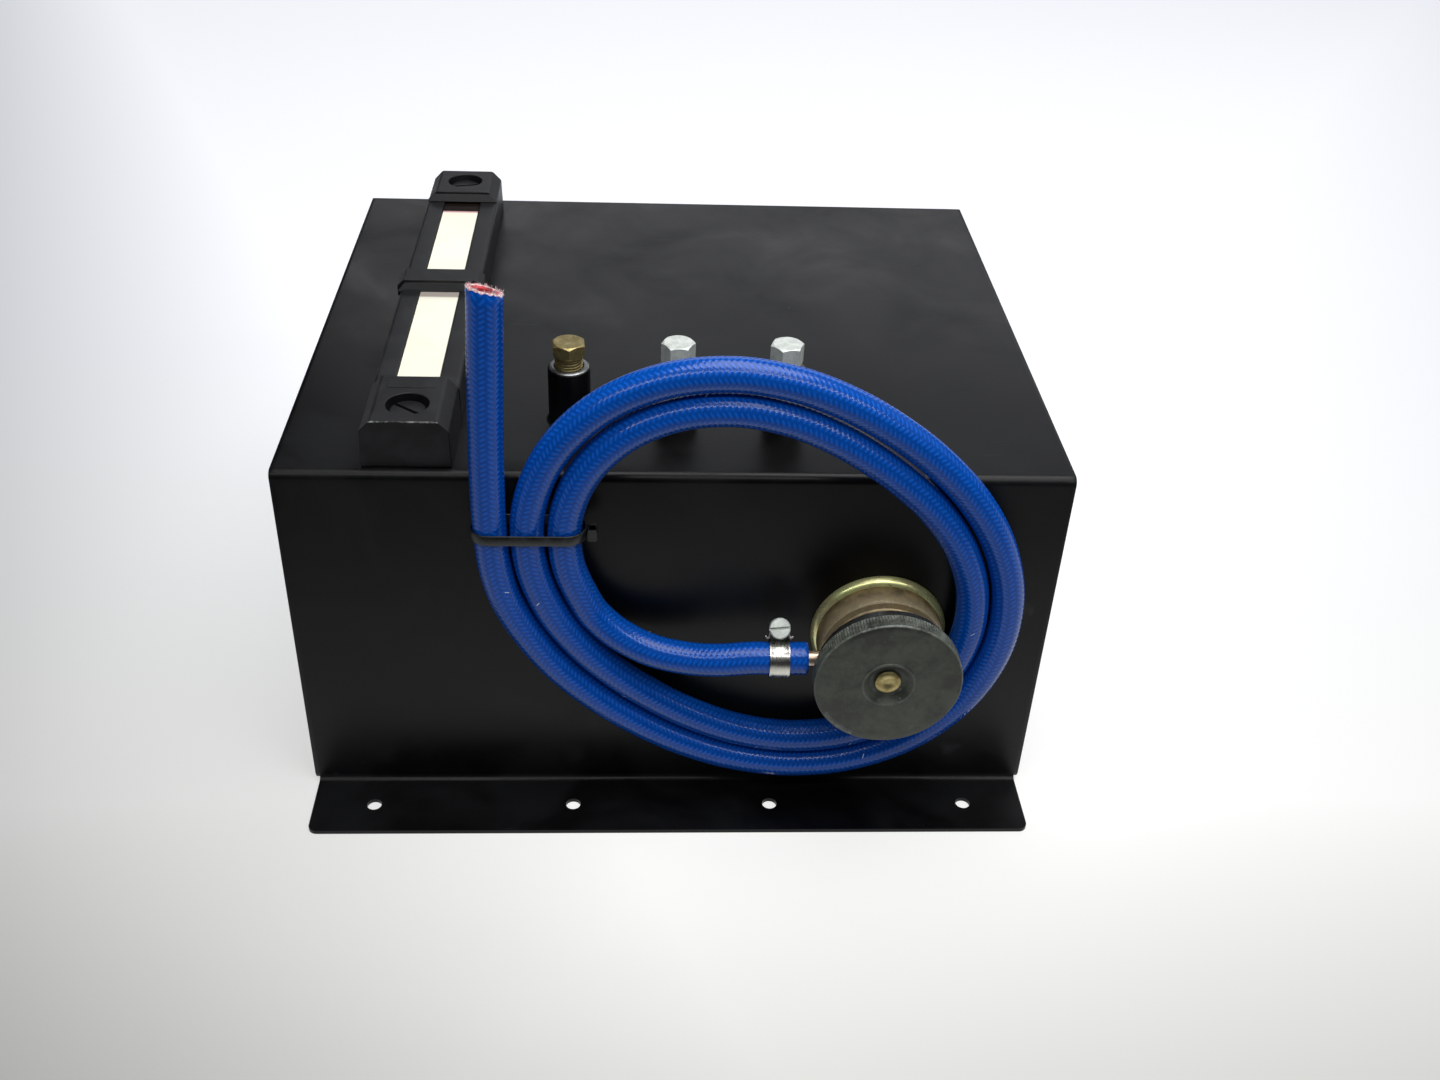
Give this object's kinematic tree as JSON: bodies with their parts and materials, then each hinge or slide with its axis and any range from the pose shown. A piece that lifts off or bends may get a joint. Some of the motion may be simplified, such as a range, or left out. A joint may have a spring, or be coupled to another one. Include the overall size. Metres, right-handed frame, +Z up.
{
  "type": "hydraulic reservoir",
  "caption": "Flat-topped black steel fluid tank with foot flanges, plugged ports, a long level gauge, a pressure filler cap and a coiled blue overflow hose.",
  "frame": {"origin": "middle of the base plate's underside, on the surface that the tank stands on", "axes": "+X to the right when facing the filler cap, +Y from the filler face to the rear, +Z up"},
  "size_m": [0.35, 0.3807, 0.2714],
  "materials": {
    "black_paint": "satin black paint on steel sheet, scuffed on top",
    "bare_steel": "bare steel",
    "brass": "dull brass",
    "zinc": "zinc plated steel",
    "yellow_passivate": "yellow passivated zinc plate",
    "copper": "copper tube",
    "stainless": "bright stainless strip",
    "spring_steel": "spring steel",
    "black_moulding": "moulded black nylon",
    "cap_moulding": "moulded dark grey-green plastic, scuffed",
    "cream_card": "cream printed strip",
    "clear_lens": "clear moulded acrylic",
    "rubber": "black seal rubber",
    "blue_silicone": "blue silicone with a braid showing through",
    "nylon": "black nylon"
  },
  "bodies": {
    "tank": {"tank_wrapper": "black_paint", "left_end_plate": "black_paint", "right_end_plate": "black_paint", "base_plate": "black_paint", "baffle_plate": "bare_steel", "left_port_boss": "black_paint", "middle_port_boss": "black_paint", "right_port_boss": "black_paint", "left_port_plug": "brass", "middle_port_plug": "zinc", "right_port_plug": "zinc", "suction_tube": "bare_steel", "suction_strainer": "zinc", "return_tube": "bare_steel", "gauge_body": "black_moulding", "gauge_front_cap": "black_moulding", "gauge_rear_cap": "black_moulding", "gauge_clip": "black_moulding", "gauge_lens": "clear_lens", "gauge_reflector": "cream_card", "gauge_front_bolt": "black_moulding", "gauge_rear_bolt": "black_moulding", "gauge_front_seal": "rubber", "gauge_rear_seal": "rubber", "gauge_front_nut": "zinc", "gauge_rear_nut": "zinc", "filler_flange": "yellow_passivate", "filler_neck": "yellow_passivate", "overflow_spigot": "copper", "overflow_hose_lead": "blue_silicone", "overflow_hose_coil": "blue_silicone", "overflow_hose_tail": "blue_silicone", "clamp_band": "stainless", "clamp_housing": "stainless", "cable_tie": "nylon"},
    "cap_stem": {"cap_rivet": "brass", "cap_top_seal": "rubber", "valve_cage": "spring_steel", "pressure_spring": "spring_steel"},
    "cap": {"cap_cover": "cap_moulding", "cap_bayonet_cup": "bare_steel"},
    "pressure_valve": {"pressure_plate": "brass", "pressure_seal": "rubber", "vacuum_spring": "spring_steel"},
    "vacuum_valve": {"vacuum_valve": "brass"},
    "clamp_screw": {"clamp_screw": "stainless"}
  },
  "joints": [
    {"name": "cap_rise", "type": "slide", "parent": "tank", "child": "cap_stem", "axis": [0, -1, 0], "range_m": [0, 0.002]},
    {"name": "cap_turn", "type": "hinge", "parent": "cap_stem", "child": "cap", "pos_m": [0.0945, -0.1525, 0.096], "axis": [0, -1, 0], "range_deg": [0, 90]},
    {"name": "pressure_valve_lift", "type": "slide", "parent": "cap_stem", "child": "pressure_valve", "axis": [0, -1, 0], "range_m": [0, 0.003], "stiffness_N_per_m": 200, "deforming": ["pressure_spring"]},
    {"name": "vacuum_valve_drop", "type": "slide", "parent": "pressure_valve", "child": "vacuum_valve", "axis": [0, 1, 0], "range_m": [0, 0.002], "stiffness_N_per_m": 50, "deforming": ["vacuum_spring"]},
    {"name": "clamp_screw_turn", "type": "hinge", "parent": "tank", "child": "clamp_screw", "pos_m": [0.0467, -0.16519, 0.10664], "axis": [0, -0.788, 0.6157], "continuous": true}
  ],
  "couplings": [
    {"joint": "cap_rise", "follows": "cap_turn", "m_per_rad": 0.00127}
  ]
}
